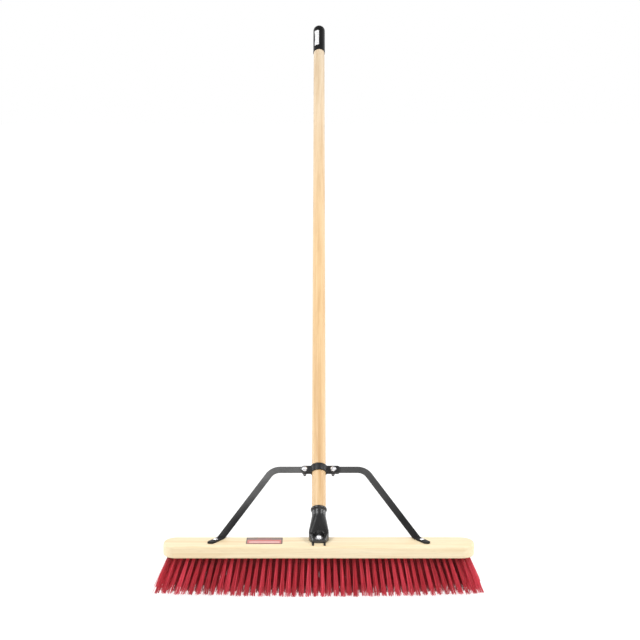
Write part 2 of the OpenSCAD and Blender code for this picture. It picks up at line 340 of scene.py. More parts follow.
def wood(name, pale, mid, dark, rotation, tone=None):
    """Lacquered timber with its grain along X once turned by the rotation.

    tone is a low Z, a high Z and the tint that the colour takes at the low Z.
    """
    m = Nodes(name)
    broad = m.noise(m.coords((1.6, 22, 22), rotation), 1.8, 5, 0.6, 0.6)
    figure = m.ramp(broad, [(0.32, dark), (0.5, mid), (0.68, pale)])
    fibre = m.noise(m.coords((9, 420, 420), rotation), 1.0, 3, 0.6)
    lines = m.range(fibre, 0.35, 0.62)
    colour = m.mix(m.range(lines, 0, 1, 0.34, 0.0), figure, dark)
    band = m.range(m.noise(m.coords((4, 130, 130), rotation), 1.0, 3, 0.6), 0.5, 0.7)
    colour = m.mix(m.range(band, 0, 1, 0.0, 0.45), colour, dark)
    pores = m.range(m.noise(m.coords((30, 900, 900), rotation), 1.3, 2, 0.5), 0.60, 0.72)
    colour = m.mix(m.range(pores, 0, 1, 0.0, 0.3), colour, [c * 0.7 for c in dark])
    if tone:
        low, high, tint = tone
        tinted = m.mix(1.0, colour, tint, "MULTIPLY")
        colour = m.mix(m.range(m.axis("Z"), low, high), tinted, colour)
    m.link(colour, m.shader.inputs["Base Color"])
    m.link(m.range(lines, 0, 1, 0.46, 0.38), m.shader.inputs["Roughness"])
    m.set(Specular_IOR_Level=0.3, Coat_Weight=0.12, Coat_Roughness=0.3)
    m.bump(lines, 0.12, 0.2 * MM)
    return m.material


def plastic(name, colour, roughness, gloss, painted_rim_sheen=None):
    """Moulded plastic with a fine spark texture. gloss is the shader's specular level.

    The last argument paints a highlight low down: a Z above which the plastic is plain, a Z below which
    it is grey, and that grey.
    """
    m = Nodes(name)
    vector = m.coords((1, 1, 1))
    spark = m.noise(vector, 900, 2, 0.6)
    wear = m.noise(vector, 35, 4, 0.6)
    base = m.ramp(wear, [(0.3, [c * 0.8 for c in colour]), (0.75, [c * 1.35 for c in colour])])
    if painted_rim_sheen:
        # painted highlight: the plastic turns grey below a height
        plain_z, sheen_z, grey = painted_rim_sheen
        base = m.mix(m.range(m.axis("Z"), plain_z, sheen_z), base, [grey] * 3)
    m.link(base, m.shader.inputs["Base Color"])
    m.link(m.range(wear, 0.3, 0.7, roughness - 0.05, roughness + 0.07), m.shader.inputs["Roughness"])
    m.set(Specular_IOR_Level=gloss)
    m.bump(spark, 0.12, 0.1 * MM)
    return m.material


def powder_coat(name, colour, painted_sheen_grey, low_z, high_z):
    """Black powder coat, greyer towards the top: a painted sheen that stands in for reflected overhead
    light. The third argument is the grey that it comes to at high_z.
    """
    m = Nodes(name)
    vector = m.coords((1, 1, 1))
    peel = m.noise(vector, 700, 3, 0.6)
    cloud = m.noise(vector, 40, 4, 0.6)
    coat = m.ramp(cloud, [(0.3, [c * 0.8 for c in colour]), (0.7, [c * 1.25 for c in colour])])
    # painted sheen: grey mixed in from low_z up to high_z
    grey = m.ramp(cloud, [(0.3, [painted_sheen_grey * 0.85] * 3), (0.7, [painted_sheen_grey * 1.15] * 3)])
    m.link(m.mix(m.range(m.axis("Z"), low_z, high_z), coat, grey), m.shader.inputs["Base Color"])
    m.link(m.range(cloud, 0.3, 0.7, 0.38, 0.5), m.shader.inputs["Roughness"])
    m.set(Specular_IOR_Level=0.2)
    m.bump(peel, 0.2, 0.1 * MM)
    return m.material


def zinc_plate(name, colour, rough):
    """Zinc-plated steel with faint stains."""
    m = Nodes(name)
    vector = m.coords((1, 1, 1))
    stain = m.noise(vector, 160, 5, 0.65)
    m.link(m.ramp(stain, [(0.3, [c * 0.82 for c in colour]), (0.65, colour)]),
           m.shader.inputs["Base Color"])
    m.link(m.range(stain, 0.3, 0.7, rough, rough + 0.12), m.shader.inputs["Roughness"])
    m.set(Metallic=1.0)
    m.bump(m.noise(vector, 1400, 2, 0.5), 0.08, 0.05 * MM)
    return m.material


def bristle_material():
    """Red filament, coloured by a shade from 0 to 1 at each point, which holds the filament's random
    tone and the painted shade at its root and in the inner rows.
    """
    m = Nodes("red_filament")
    shade = m.add("ShaderNodeAttribute", attribute_name="shade")
    m.link(m.ramp(shade.outputs["Fac"], [(0.0, (0.05, 0.006, 0.005)), (0.3, (0.28, 0.016, 0.02)),
                                         (0.65, (0.63, 0.03, 0.05)), (1.0, (0.86, 0.075, 0.12))]),
           m.shader.inputs["Base Color"])
    m.set(Roughness=0.4, Specular_IOR_Level=0.45)
    streak = m.noise(m.coords((1, 1, 0.1)), 3000, 2, 0.5)
    m.bump(streak, 0.1, 0.1 * MM)
    return m.material


BLOCK_WOOD = wood("pale_block_wood", (0.95, 0.83, 0.60), (0.92, 0.78, 0.53), (0.82, 0.62, 0.36),
                  (0, 0, 0))
HANDLE_WOOD = wood("lacquered_dowel", (0.82, 0.70, 0.54), (0.76, 0.62, 0.44), (0.60, 0.43, 0.265),
                   (LEAN, math.pi / 2, 0), (0.6, 1.1, (0.98, 0.83, 0.62)))
# The bracket turns grey near the block's top: a painted highlight on the rim of its foot.
BRACKET_BLACK = plastic("bracket_black_painted_sheen", (0.014, 0.014, 0.0145), 0.28, 0.5,
                        (TOP + 10 * MM, TOP + 5 * MM, 0.05))
CAP_BLACK = plastic("cap_black", (0.011, 0.011, 0.0115), 0.34, 0.18)
# Painted sheen: the arms turn grey towards the top, the left arm more than the right, in place of
# reflected overhead light.
ARM_STEEL = {word: powder_coat(f"{word}_arm_coat_painted_sheen", (0.012, 0.012, 0.0125), painted_sheen_grey, TOP + 30 * MM,
                               TOP + 100 * MM)
             for word, painted_sheen_grey in (("left", 0.118), ("right", 0.065))}
# The clamp's coat greys faintly higher up: a painted sheen.
CLAMP_STEEL = powder_coat("clamp_coat_painted_sheen", (0.014, 0.014, 0.0145), 0.03, TOP, TOP + 200 * MM)
ZINC = zinc_plate("bright_zinc", (0.95, 0.95, 0.97), 0.34)
WASHER_ZINC = zinc_plate("washer_zinc", (0.98, 0.98, 1.0), 0.62)
# Darker zinc: a painted shade for the bolt ends, nuts and washers under the clamp's flanges.
ZINC_PAINTED_SHADE = zinc_plate("zinc_painted_shade", (0.20, 0.20, 0.21), 0.4)
STAPLE = zinc_plate("staple_wire", (0.6, 0.6, 0.58), 0.3)
RED = bristle_material()

# ---- block and label -----------------------------------------------------------


def block_piece():
    """Rounded block: outlines of a rounded rectangle, drawn in round the top and bottom edges."""
    corner, edge = 27 * MM, 4.5 * MM
    half_l, half_d = (block_high.x - block_low.x) / 2, (block_high.y - block_low.y) / 2
    levels = [(edge - dx, UNDERSIDE + edge + dz) for dx, dz in arc(edge, -90, 0, 6)]
    levels += [(edge - dx, TOP - edge + dz) for dx, dz in arc(edge, 0, 90, 6)]
    verts = []
    for inset, z in levels:
        outline = rounded_outline(half_l - inset, half_d - inset, corner - inset, 12)
        verts += [(x, y, z) for x, y in outline]
    return new_object("block_body", verts, tube_faces(len(levels), len(outline)))


dress(smooth_by_angle(block_piece(), 40), "head", "block_wood", BLOCK_WOOD, "block")


def label_material():
    """Printed film: dark rim, grey head band, red field with plain bars."""
    m = Nodes("label_print")
    low, high = (Vector(c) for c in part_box("label"))
    u = m.range(m.axis("X"), low.x, high.x)
    v = m.range(m.axis("Y"), low.y, high.y)

    def band(value, start, end):
        """1 between start and end, with a short soft edge."""
        soft = 0.008
        rising = m.range(value, start - soft, start + soft)
        falling = m.range(value, end - soft, end + soft, 1.0, 0.0)
        return m.product(rising, falling)

    def panel(across, up):
        """1 inside a rectangle, from the shares of the label that it spans."""
        return m.product(band(u, *across), band(v, *up))

    rim, grey, pink = (0.12, 0.08, 0.06), (0.22, 0.155, 0.125), (0.63, 0.15, 0.135)
    pale_bar, dark_bar = (0.9, 0.72, 0.68), (0.4, 0.1, 0.1)
    inside = (0.035, 0.965)
    colour = m.mix(panel(inside, (0.08, 0.92)), rim, grey)
    colour = m.mix(panel(inside, (0.08, 0.62)), colour, pink)
    colour = m.mix(panel((0.08, 0.92), (0.22, 0.34)), colour, pale_bar)
    colour = m.mix(panel((0.3, 0.7), (0.72, 0.82)), colour, dark_bar)
    m.link(colour, m.shader.inputs["Base Color"])
    m.link(m.range(m.noise(m.coords((1, 1, 1)), 120, 3), 0.3, 0.7, 0.3, 0.42),
           m.shader.inputs["Roughness"])
    m.set(Coat_Weight=0.2)
    return m.material


def label_piece():
    low, high = (Vector(c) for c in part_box("label"))
    middle = (low + high) / 2
    outline = rounded_outline((high.x - low.x) / 2, (high.y - low.y) / 2, 1.5 * MM, 5)
    verts = [(middle.x + x, middle.y + y, z) for z in (low.z, high.z) for x, y in outline]
    return new_object("label_film", verts, tube_faces(2, len(outline)), smooth=False)


dress(label_piece(), "head", "label", label_material(), "label")

# ---- bristles ------------------------------------------------------------------

TUFTS, TUFT_PITCH = 48, 12.5 * MM            # in the longer rows; the others have one fewer
ROWS, MIDDLE_ROW, ROW_PITCH = 5, 3, 11 * MM
END_FAN, ROW_FAN = 27 * MM, 14 * MM          # how far the outermost tips lean out, in X and Y
FAN_STRAY = (1.8 * MM, 1.2 * MM)             # how far a tuft strays from that, in X and Y
END_LIFT, LIFT_STRAY = 7 * MM, 0.7 * MM      # how far the fanned end tufts' tips rise

FILAMENTS, FILAMENT_R, SIDES, JOINTS = 34, 0.44 * MM, 5, 5
ROOT_R, ROOT_DEPTH = 2.8 * MM, 2 * MM        # a tuft's radius and depth in its hole
OUTER_SPREAD, INNER_SPREAD = (4.4, 6.8), (5.0, 7.0)      # a tuft's radius at the tips, in mm
OUTER_BOW, INNER_BOW = -0.5 * MM, 0.9 * MM   # how far a tuft swells halfway down
BOW_STRAY, TIP_STRAY, TRIM_STRAY = 0.35, 0.6, 1.2        # random spread of single filaments, in mm
TIP_CLEARANCE = 0.2 * MM
SHORT_SHARE, SHORT_BY = 0.08, 4 * MM         # some filaments are cut short
GOLDEN_ANGLE = math.pi * (3 - math.sqrt(5))  # spreads the filaments evenly over a tuft

ROW_SHADE = {1: 1.0, 2: 0.5, 3: 0.35, 4: 0.5, 5: 1.0}     # the inner rows lie in shade
ROOT_SHADE, FULL_TONE_AT = 0.58, 0.4          # painted shade: darker at the root, up to a share of the length
TUFT_TONES, FILAMENT_TONES = (0.62, 0.95), (0.7, 1.25)


def filament(verts, faces, shades, root, tip, bow, radius, tone):
    """One filament: a thin bent tube that narrows a little towards its cut tip."""
    start = len(verts)
    for i in range(JOINTS):
        t = i / (JOINTS - 1)
        middle = root.lerp(tip, t) + bow * (4 * t * (1 - t))
        r = radius * (1 - 0.15 * t)
        # painted shade: darker towards the root
        shade = tone * (ROOT_SHADE + (1 - ROOT_SHADE) * min(1, t / FULL_TONE_AT))
        for j in range(SIDES):
            a = 2 * math.pi * j / SIDES
            verts.append(middle + Vector((math.cos(a) * r, math.sin(a) * r, 0)))
            shades.append(min(1.0, max(0.0, shade)))
    faces.extend(tuple(k + start for k in f) for f in tube_faces(JOINTS, SIDES))


def bristle_row(row):
    """One row of tufts, which fan out towards the block's ends and its long sides."""
    rng = random.Random(SEED * 100 + row)
    outer_row = row in (1, ROWS)
    tip_spread = OUTER_SPREAD if outer_row else INNER_SPREAD
    row_bow = OUTER_BOW if outer_row else INNER_BOW
    count = TUFTS - (row + 1) % 2
    verts, faces, shades = [], [], []
    for i in range(count):
        foot = Vector(((i - (count - 1) / 2) * TUFT_PITCH, (row - MIDDLE_ROW) * ROW_PITCH, UNDERSIDE))
        out_x = foot.x / (TUFTS * TUFT_PITCH / 2)
        fan = Vector((END_FAN * out_x, ROW_FAN * (row - MIDDLE_ROW) / 2, 0))
        fan.x += rng.uniform(-1, 1) * FAN_STRAY[0]
        fan.y += rng.uniform(-1, 1) * FAN_STRAY[1]
        from_end = min(i, count - 1 - i)
        # a random tone, darkened by the inner rows' painted shade away from the ends
        tone = rng.uniform(*TUFT_TONES) * (1.0 if from_end < 2 else ROW_SHADE[row])
        turn = rng.uniform(0, math.pi)
        lift = END_LIFT * out_x ** 2 + abs(rng.gauss(0, 1)) * LIFT_STRAY
        for k in range(FILAMENTS):
            angle = k * GOLDEN_ANGLE + turn
            out = Vector((math.cos(angle), math.sin(angle), 0)) * math.sqrt((k + 0.5) / FILAMENTS)
            root = foot + Z * ROOT_DEPTH + out * ROOT_R
            end = foot + fan + out * rng.uniform(*tip_spread) * MM
            end += Vector((rng.gauss(0, TIP_STRAY), rng.gauss(0, TIP_STRAY), 0)) * MM
            end.z = abs(rng.gauss(0, TRIM_STRAY)) * MM + TIP_CLEARANCE + lift
            end.z += (rng.random() < SHORT_SHARE) * SHORT_BY
            bow = Vector((rng.gauss(0, BOW_STRAY), rng.gauss(0, BOW_STRAY), 0)) * MM + out * row_bow
            filament(verts, faces, shades, root, end, bow, FILAMENT_R * rng.uniform(0.85, 1.15),
                     tone * rng.uniform(*FILAMENT_TONES))
    obj = new_object(f"bristles_{row}", verts, faces)
    layer = obj.data.attributes.new("shade", "FLOAT", "POINT")
    layer.data.foreach_set("value", shades)
    return dress(obj, "head", "red_bristle", RED, f"bristle_row_{row}")


for row_number in range(1, ROWS + 1):
    bristle_row(row_number)
redress("tuft_staples", STAPLE)

# ---- brace ---------------------------------------------------------------------

BEND_AT = BAR_T / 2 / AXIS.z
BEND_X = CORNER_X + (CLAMP_AT - BEND_AT) * math.tan(SPLAY)
CORNER_STEPS, FOLD_STEPS = 12, 6
SQUARE_TO, SKEW_FROM = 20 * MM, 9 * MM       # the bar's cut turns level between these, before the fold
SQUARE_BEFORE = 4 * MM                       # the cut is square this far before the tab's round end


def brace_arm(side, name):
    """Flat bar: round end at the clamp, a bend in its plane, a slope, a fold and a foot tab."""
    half = BAR_W / 2

    def spot(x, s):
        return on_handle(side * x, 0, s)

    def wide(dx, ds, share=1.0):
        return (X * side * dx + AXIS * ds) * half * share

    stations = [(spot(BOLT_X - half * math.cos(a), CLAMP_AT), wide(0, 1, math.sin(a)), -UNDER)
                for a in ROUND_END]
    tangent = CORNER_R * math.tan((math.pi / 2 - SPLAY) / 2)
    cx, cs = CORNER_X - tangent, CLAMP_AT - CORNER_R
    for i in range(CORNER_STEPS + 1):
        a = math.pi / 2 - (math.pi / 2 - SPLAY) * i / CORNER_STEPS
        stations.append((spot(cx + CORNER_R * math.cos(a), cs + CORNER_R * math.sin(a)),
                         wide(math.cos(a), math.sin(a)), -UNDER))

    slope = Vector((side * math.sin(SPLAY), 0, 0)) - AXIS * math.cos(SPLAY)
    level_cut = X * side * (half / math.cos(SPLAY))
    turn = math.pi / 2 - LEAN               # from the slope's plane to the block's top
    setback = FOLD_R * math.tan(turn / 2)
    bend = Vector((side * BEND_X, BASE.y + BEND_AT * AXIS.y, TOP + BAR_T / 2))
    start = bend - slope * (setback / math.cos(SPLAY))
    stations.append((start - slope * SQUARE_TO, wide(math.cos(SPLAY), math.sin(SPLAY)), -UNDER))
    stations.append((start - slope * SKEW_FROM, level_cut, -UNDER))

    fold = []
    for i in range(FOLD_STEPS + 1):
        a = turn * i / FOLD_STEPS
        middle = start + X * side * math.tan(SPLAY) * FOLD_R * a
        middle -= AXIS * FOLD_R * math.sin(a) + UNDER * FOLD_R * (1 - math.cos(a))
        fold.append((middle, AXIS * math.sin(a) - UNDER * math.cos(a)))
    rise = Z * (TOP + BAR_T / 2 - fold[-1][0].z)      # lays the tab flat on the block
    stations += [(middle + rise, level_cut, normal) for middle, normal in fold]

    last = fold[-1][0] + rise
    flat = Vector((side * math.sin(SPLAY), -math.cos(SPLAY), 0))
    across = Vector((math.cos(SPLAY) * side, math.sin(SPLAY), 0)) * half
    round_at = TAB_LENGTH - setback - half
    stations.append((last + flat * (round_at - SQUARE_BEFORE), across, Z))
    stations += [(last + flat * (round_at + half * math.cos(a)), across * math.sin(a), Z)
                 for a in reversed(ROUND_END)]
    return smooth_by_angle(strip(name, stations, BAR_T, 0.5 * MM), 50)


for side, word in ((-1, "left"), (1, "right")):
    dress(brace_arm(side, f"brace_bar_{word}"), "head", "black_steel", ARM_STEEL[word],
          f"brace_arm_{word}")


def clamp_half(name, sign, left, right):
    """Stamped saddle: flange, quarter bends, a band round the handle and the other flange."""
    corner, bend, band_steps, bend_steps = 5 * MM, 3.2 * MM, 12, 5
    ring = HANDLE_R + 0.1 * MM + CLAMP_T / 2
    level = CLAMP_GAP / 2 + CLAMP_T / 2
    reach = math.sqrt((ring + bend) ** 2 - (level + bend) ** 2)
    meet = math.atan2(level + bend, reach)      # angle of the bend's centre above the flange
    outline = []                                # (x, out, half-width, normal) on the right side
    for a in ROUND_END:
        outline.append((right - corner * (1 - math.cos(a)), level,
                        CLAMP_W / 2 - corner * (1 - math.sin(a)), (0, 1)))
    for i in range(bend_steps + 1):
        a = -math.pi / 2 - (math.pi / 2 - meet) * i / bend_steps
        outline.append((reach + bend * math.cos(a), level + bend + bend * math.sin(a), CLAMP_W / 2,
                        (-math.cos(a), -math.sin(a))))
    for i in range(1, band_steps + 1):
        a = meet + (math.pi / 2 - meet) * i / band_steps
        normal = (math.cos(a), math.sin(a))
        outline.append((ring * normal[0], ring * normal[1], CLAMP_W / 2, normal))
    full = list(outline)
    for x, out, half, (nx, ny) in reversed(outline[:-1]):
        on_flange = x > reach + 1 * MM
        full.append((-x + (right - left) * on_flange, out, half, (-nx, ny)))
    stations = [(on_handle(x, -sign * out, CLAMP_AT), AXIS * half, X * nx - UNDER * sign * ny)
                for x, out, half, (nx, ny) in full]
    return smooth_by_angle(strip(name, stations, CLAMP_T, 0.5 * MM), 50)


dress(clamp_half("clamp_saddle_front", 1, FLANGE_LEFT, FLANGE_RIGHT), "head", "black_steel",
      CLAMP_STEEL, "clamp_front")
dress(clamp_half("clamp_saddle_rear", -1, FLANGE_LEFT, FLANGE_RIGHT), "head", "black_steel",
      CLAMP_STEEL, "clamp_rear")

# ---- fasteners -----------------------------------------------------------------

# Head radius and height, shank radius and length, and thread pitch.
CLAMP_SCREW = (5.8 * MM, 3.8 * MM, BOLT_R, BOLT_LENGTH, THREAD_PITCH)
FOOT_SCREW = (4.7 * MM, 3.1 * MM, 2.2 * MM, 13 * MM, 1.6 * MM)
DISH_SCREW = (6.8 * MM, 5.5 * MM, 3 * MM, 17.6 * MM, 1.8 * MM)
CROSS_TURN = 0.4                                # how far the cross recess is turned, in radians


def thread(crest, depth, pitch):
    """Ripple for lathe: a V thread, as a wave that climbs with the angle."""
    def ripple(r, z, a):
        if r < crest * 0.98:
            return r
        phase = (z / pitch - a / (2 * math.pi)) % 1.0
        return crest - depth * abs(2 * phase - 1)
    return ripple


def pan_screw(name, seat, axis, head_r, head_h, shank_r, shank_length, pitch):
    """Round-headed screw with a cross recess and a threaded shank. axis points out of its head."""
    rim = 0.45 * MM                             # height of the head's straight edge
    dome = (head_r ** 2 + head_h ** 2) / (2 * head_h)
    edge = math.degrees(math.acos(head_r / dome))
    head = [(PIN_R / 2, 0), (head_r - 0.4 * MM, 0), (head_r - 0.1 * MM, rim / 3), (head_r, rim)]
    for r, z in arc(dome, edge, 89.5, 9, (0, head_h - dome)):
        if z > 0.7 * MM and r < head_r:
            head.append((r, z))
    obj = lathe(name, head, seat, axis, 48)
    cutters = []
    across = axis.cross(X if abs(axis.x) < 0.5 else Y).normalized()
    for turn in (CROSS_TURN, CROSS_TURN + math.pi / 2):
        long_side = Matrix.Rotation(turn, 3, axis) @ across
        short_side = axis.cross(long_side)
        verts = []
        for z, length, width in ((head_h + 1 * MM, 0.62, 0.13), (head_h * 0.42, 0.42, 0.09)):
            for sl, sw in ((1, 1), (-1, 1), (-1, -1), (1, -1)):
                verts.append(seat + axis * z + long_side * sl * head_r * length
                             + short_side * sw * head_r * width)
        cutters.append(new_object("recess", verts, tube_faces(2, 4), smooth=False))
    combine(obj, cutters, "DIFFERENCE")
    rings = int(shank_length / (pitch / 6))
    shank = [(shank_r, -shank_length * i / rings) for i in range(rings + 1)]
    body = lathe("shank", shank, seat, axis, 24, thread(shank_r, pitch * 0.5, pitch))
    join(obj, body)
    return smooth_by_angle(obj, 32)


def shank_painted_shade(obj, seat, axis):
    """The threaded part takes the darker zinc: a painted shade for the bolt end that shows under the
    flange.
    """
    obj.data.materials.append(ZINC_PAINTED_SHADE)
    for face in obj.data.polygons:
        if (face.center - seat).dot(axis) < -0.2 * MM:
            face.material_index = 1


def join(obj, other):
    """Adds another object's mesh to this one as a separate closed shell."""
    bm = bmesh.new()
    bm.from_mesh(obj.data)
    bm.from_mesh(other.data)
    bm.to_mesh(obj.data)
    bm.free()
    bpy.data.objects.remove(other)
    return obj


def hex_nut(name, seat, axis):
    """Hexagon nut with chamfered corners on both faces and a threaded bore."""
    sides, rings, thread_depth = 96, 30, 0.27 * MM
    across = axis.cross(X if abs(axis.x) < 0.5 else Y).normalized()
    other = axis.cross(across)

    def ring(z, radius):
        """One ring of points, with its radius worked out from the angle."""
        angles = [2 * math.pi * j / sides for j in range(sides)]
        return [seat + axis * z + (across * math.cos(a) + other * math.sin(a)) * radius(a)
                for a in angles]

    verts = []
    levels = [share * NUT_T for share in (0, 0.12, 0.3, 0.7, 0.88, 1.0)]
    for z in levels:
        chamfer = NUT_AF / 2 * 0.98 + min(z, NUT_T - z) * 1.9

        def outside(a):
            wedge = (a + math.pi / 6) % (math.pi / 3) - math.pi / 6
            return min(NUT_AF / 2 / math.cos(wedge), chamfer)

        verts += ring(z, outside)
    faces = tube_faces(len(levels), sides, closed_ends=False)
    base = len(verts)
    for i in range(rings + 1):
        z = NUT_T * (1 - i / rings)
        flare = 0.5 * MM * max(0, 1 - min(z, NUT_T - z) / (0.6 * MM))

        def inside(a):
            phase = (z / THREAD_PITCH - a / (2 * math.pi)) % 1.0
            return BOLT_R + thread_depth * abs(2 * phase - 1) + flare

        verts += ring(z, inside)
    faces += [tuple(base + k for k in f) for f in tube_faces(rings + 1, sides, closed_ends=False)]
    last_outer, last_bore = (len(levels) - 1) * sides, base + rings * sides
    for j in range(sides):
        k = (j + 1) % sides
        faces.append((last_outer + j, last_outer + k, base + k, base + j))
        faces.append((last_bore + j, last_bore + k, k, j))
    return smooth_by_angle(new_object(name, verts, faces), 28)


for side, word in ((-1, "left"), (1, "right")):
    seat = on_handle(side * BOLT_X, -(CLAMP_GAP / 2 + CLAMP_T), CLAMP_AT)
    bolt = pan_screw(f"clamp_screw_{word}", seat, -UNDER, *CLAMP_SCREW)
    dress(bolt, "head", "zinc", ZINC, f"clamp_bolt_{word}")
    shank_painted_shade(bolt, seat, -UNDER)
    middle = centre(f"clamp_nut_{word}")
    nut = hex_nut(f"hex_nut_{word}", middle - UNDER * NUT_T / 2, UNDER)
    # The nut and the washer take the darker zinc, a painted shade under the flange.
    dress(nut, f"nut_{word}", "zinc", ZINC_PAINTED_SHADE, f"clamp_nut_{word}")
    bevel(redress(f"clamp_washer_{word}", ZINC_PAINTED_SHADE), 0.2 * MM)
    middle = centre(f"brace_screw_{word}")
    seat = Vector((middle.x, middle.y, TOP + BAR_T))
    screw = pan_screw(f"foot_screw_{word}", seat, Z, *FOOT_SCREW)
    dress(screw, "head", "zinc", ZINC, f"brace_screw_{word}")

middle = centre("bracket_screw")
seat = Vector((middle.x, middle.y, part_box("bracket_washer")[1][2]))
dress(pan_screw("dish_screw", seat, Z, *DISH_SCREW), "head", "zinc", ZINC, "bracket_screw")
bevel(redress("bracket_washer", WASHER_ZINC), 0.2 * MM)

# ---- bracket -------------------------------------------------------------------

# Round corners of the bracket's right side: x, y and radius in mm.
TOE, HEEL, FLARE_FOOT = [(8.5, -3, 8)], [(14, 8, 6), (14, 24, 6)], [(14, 14, 6), (14, 24, 6)]
# The neck and its rolled collar: radius and place along the handle in mm.
COLLAR = [(14.2, 30), (14.2, 60.8), (14.6, 61.7), (15.7, 62.7), (16.5, 64), (16.6, 65),
          (16.6, 66.7), (16.2, 67.8), (15.6, 68.5)]
PRONG_X, PRONG_FRONT = 11.5 * MM, -24.6 * MM


def hull(name, points):
    """Smallest convex solid round some points."""
    mesh = bpy.data.meshes.new(name)
    bm = bmesh.new()
    for p in points:
        bm.verts.new(p)
    result = bmesh.ops.convex_hull(bm, input=bm.verts)
    bmesh.ops.delete(bm, geom=[g for g in result["geom_interior"] if isinstance(g, bmesh.types.BMVert)],
                     context="VERTS")
    bm.to_mesh(mesh)
    bm.free()
    obj = bpy.data.objects.new(name, mesh)
    bpy.context.collection.objects.link(obj)
    return obj


def disc(middle, a, b, r, sides=40):
    """Points of a circle spanned by the directions a and b."""
    angles = [2 * math.pi * i / sides for i in range(sides)]
    return [middle + a * r * math.cos(t) + b * r * math.sin(t) for t in angles]


def corner_discs(corners, height):
    """Circles at the block's top and at a height above it, for each corner on both sides."""
    points = []
    for side in (-1, 1):
        for x, y, r in corners:
            for z in (TOP + 0.1 * MM, TOP + height):
                points += disc(Vector((side * x * MM, y * MM, z)), X, Y, r * MM)
    return points


def bracket_cutters():
    """The screw's dish and hole, and the stepped socket for the handle."""
    gap, screw_hole_r = 0.1 * MM, 3.3 * MM
    screw_at = centre("bracket_screw")
    seat = Vector((screw_at.x, screw_at.y, TOP))
    dish = [(PIN_R, DISH_FLOOR), (DISH_R, DISH_FLOOR), (DISH_R, 90 * MM), (PIN_R, 90 * MM)]
    hole = [(PIN_R, -5 * MM), (screw_hole_r, -5 * MM), (screw_hole_r, 30 * MM), (PIN_R, 30 * MM)]
    bore = [(PIN_R, SOCKET_FLOOR), (TENON_R + gap, SOCKET_FLOOR), (TENON_R + gap, SHOULDER_AT),
            (HANDLE_R + gap, SHOULDER_AT), (HANDLE_R + gap, 100 * MM), (PIN_R, 100 * MM)]
    return [lathe("dish", dish, seat, Z, 64), lathe("hole", hole, seat, Z, 32),
            lathe("bore", bore, BASE, AXIS, 96)]


def bracket_piece():
    """Moulded bracket: foot, flare and collar blended, with a round dish for its screw."""
    foot = hull("bracket", corner_discs(TOE, FOOT_FRONT) + corner_discs(HEEL, FOOT_BACK))
    points = corner_discs(FLARE_FOOT, FOOT_BACK)
    for at in (SOCKET_FLOOR - 4 * MM, NECK_BOTTOM):
        points += disc(on_handle(0, 0, at), X, UNDER, NECK_R)
    flare = hull("flare", points)
    profile = [(PIN_R, COLLAR[0][1] * MM)] + [(r * MM, at * MM) for r, at in COLLAR]
    profile.append((PIN_R, COLLAR[-1][1] * MM))
    combine(foot, [flare, lathe("collar", profile, BASE, AXIS, 96)], "UNION")
    combine(foot, bracket_cutters(), "DIFFERENCE")
    step = foot.modifiers.new("remesh", "REMESH")
    step.mode = "VOXEL"
    step.voxel_size = 0.5 * MM
    step = foot.modifiers.new("soften", "SMOOTH")
    step.factor = 0.5
    step.iterations = 14
    settle(foot)
    foot.data.shade_smooth()
    foot.name = "bracket_moulding"
    return foot


dress(bracket_piece(), "head", "bracket_plastic", BRACKET_BLACK, "handle_bracket")


def prong_piece():
    """Flat plate with two prongs that run forward and turn down into the block."""
    thick, turn_r, steps = 1.6 * MM, 1.6 * MM, 5
    mid = TOP + thick / 2
    plate = [(Vector((0, y * MM, mid)), X * 14 * MM, Z) for y in (-6, 0, 10, 18)]
    strips = []
    for side in (-1, 1):
        x = side * PRONG_X
        path = [(Vector((x, y * MM, mid)), Z) for y in (10, -5, -20, -24)]
        for i in range(1, steps + 1):
            a = math.pi / 2 * i / steps
            drop = turn_r * (1 - math.cos(a))
            path.append((Vector((x, PRONG_FRONT - turn_r * math.sin(a), mid - drop)),
                         Vector((0, -math.sin(a), math.cos(a)))))
        path.append((Vector((x, PRONG_FRONT - turn_r, TOP - 5.5 * MM)), -Y))
        strips.append(strip("prong", [(p, X * 2 * MM, n) for p, n in path], thick, 0.35 * MM))
    obj = join(strips[0], strips[1])
    join(obj, strip("plate", plate, thick, 0.3 * MM))
    obj.name = "prong_plate_steel"
    return smooth_by_angle(obj, 50)


dress(prong_piece(), "head", "black_steel", CLAMP_STEEL, "prong_plate")

# ---- handle and cap ------------------------------------------------------------

def handle_piece():
    """Dowel with a thinner tenon at its lower end, up to where the cap covers it."""
    edge, gap, steps = 0.8 * MM, 0.05 * MM, 40
    end = CAP_START + WOOD_IN_CAP
    profile = [(PIN_R, SOCKET_FLOOR + gap), (TENON_R - edge, SOCKET_FLOOR + gap),
               (TENON_R, SOCKET_FLOOR + edge), (TENON_R, SHOULDER_AT - 0.2 * MM),
               (TENON_R, SHOULDER_AT + gap), (HANDLE_R - edge, SHOULDER_AT + gap)]
    start = SHOULDER_AT + edge
    profile += [(HANDLE_R, start + (end - start) * i / steps) for i in range(steps + 1)]
    profile.append((PIN_R, end))
    return smooth_by_angle(lathe("handle_dowel", profile, BASE, AXIS, 96), 40)


dress(handle_piece(), "handle", "handle_wood", HANDLE_WOOD, "handle")


